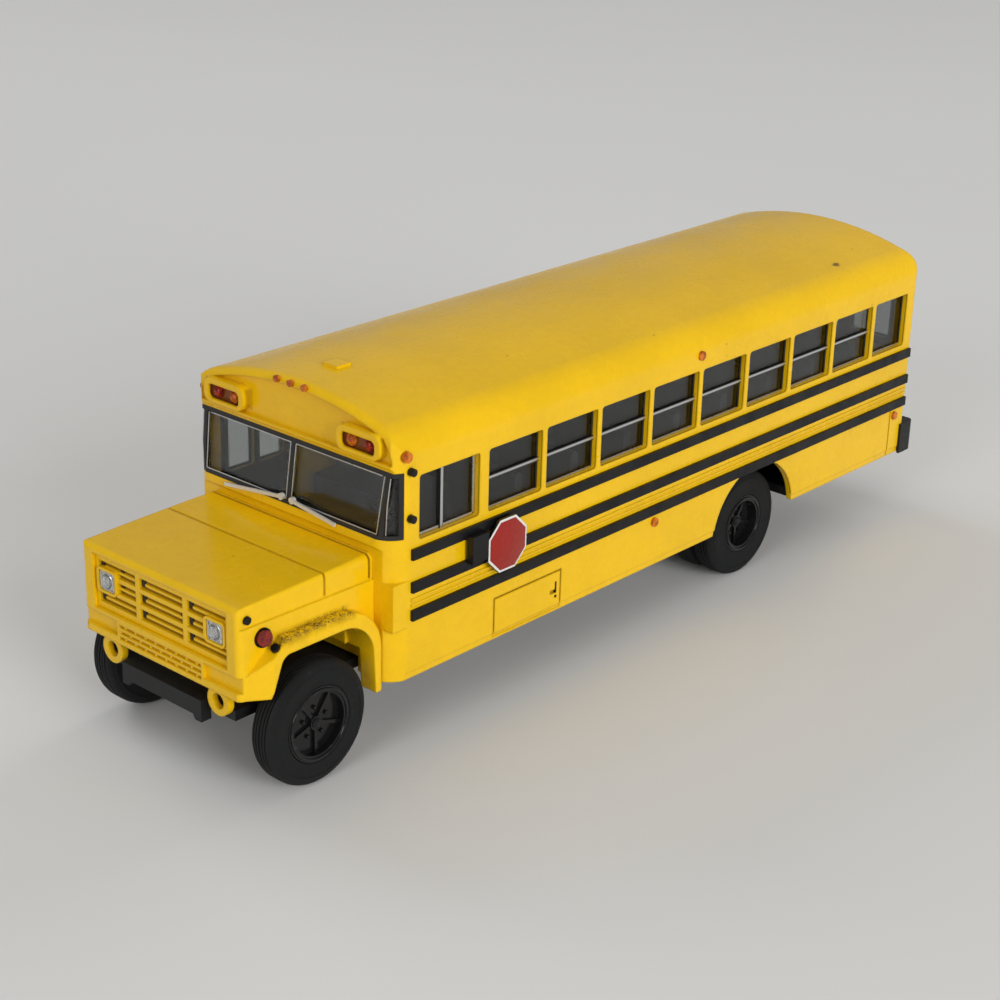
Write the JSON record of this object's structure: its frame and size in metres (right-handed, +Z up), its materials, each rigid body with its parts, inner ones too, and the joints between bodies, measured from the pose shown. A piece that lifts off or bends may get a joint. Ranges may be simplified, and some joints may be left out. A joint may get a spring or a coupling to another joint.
{
  "type": "die-cast model school bus",
  "caption": "Small die-cast model of a yellow conventional school bus with a hollow glazed body, bonneted nose, seat tray, black base, stop sign and rolling axle sets.",
  "frame": {"origin": "on the ground under the middle of the model's bounding box", "axes": "+X forward, +Y to the driver's side (left), +Z up"},
  "size_m": [0.1258, 0.0343, 0.0404],
  "materials": {
    "body_yellow": "gloss enamel on zinc",
    "trim_black": "satin black paint",
    "base_black": "moulded matt plastic",
    "gasket_black": "matt",
    "clear_glazing": "clear moulded, smoked",
    "headlamp_clear": "clear over silver",
    "bright_silver": "silver paint",
    "axle_steel": "drawn wire",
    "lamp_red": "gloss",
    "lamp_amber": "gloss",
    "sign_red": "printed",
    "sign_white": "printed",
    "tray_grey": "moulded matt plastic",
    "rim_black": "gloss moulded",
    "tyre_black": "matt soft plastic"
  },
  "bodies": {
    "bus": {"body_casting": "body_yellow", "rub_rails": "trim_black", "nose_casting": "body_yellow", "grille_panel": "body_yellow", "headlamps": "headlamp_clear", "tow_eyes": "body_yellow", "front_bar": "base_black", "rear_bumper": "base_black", "windscreen": "clear_glazing", "windscreen_gasket": "gasket_black", "glazing_left": "clear_glazing", "glazing_right": "clear_glazing", "glazing_rear": "clear_glazing", "sash_bars": "bright_silver", "seat_tray": "tray_grey", "driver_seat": "tray_grey", "steering_wheel": "base_black", "dashboard": "base_black", "base_plate": "base_black", "front_axle_carrier": "base_black", "rear_axle_housing": "base_black", "stand_bosses": "base_black", "fuel_tank": "base_black", "exhaust": "base_black", "stop_sign_arm": "trim_black", "stop_sign_plate": "sign_white", "stop_sign_face": "sign_red", "wiper_left": "bright_silver", "wiper_right": "bright_silver", "warning_lamps_red": "lamp_red", "warning_lamps_amber": "lamp_amber", "marker_lamps": "lamp_amber", "tail_lamps": "lamp_red", "wing_lamps": "lamp_red", "mirror_pegs": "trim_black"},
    "front_axle_set": {"front_axle": "axle_steel", "front_rim_left": "rim_black", "front_rim_right": "rim_black", "front_tyre_left": "tyre_black", "front_tyre_right": "tyre_black"},
    "rear_axle_set": {"rear_axle": "axle_steel", "rear_rims_left": "rim_black", "rear_rims_right": "rim_black", "rear_tyres_left": "tyre_black", "rear_tyres_right": "tyre_black"}
  },
  "joints": [
    {"name": "front_axle_roll", "type": "hinge", "parent": "bus", "child": "front_axle_set", "pos_m": [0.05362, 0, 0.00724], "axis": [0, 1, 0], "continuous": true},
    {"name": "rear_axle_roll", "type": "hinge", "parent": "bus", "child": "rear_axle_set", "pos_m": [-0.02417, 0, 0.00724], "axis": [0, 1, 0], "continuous": true}
  ]
}
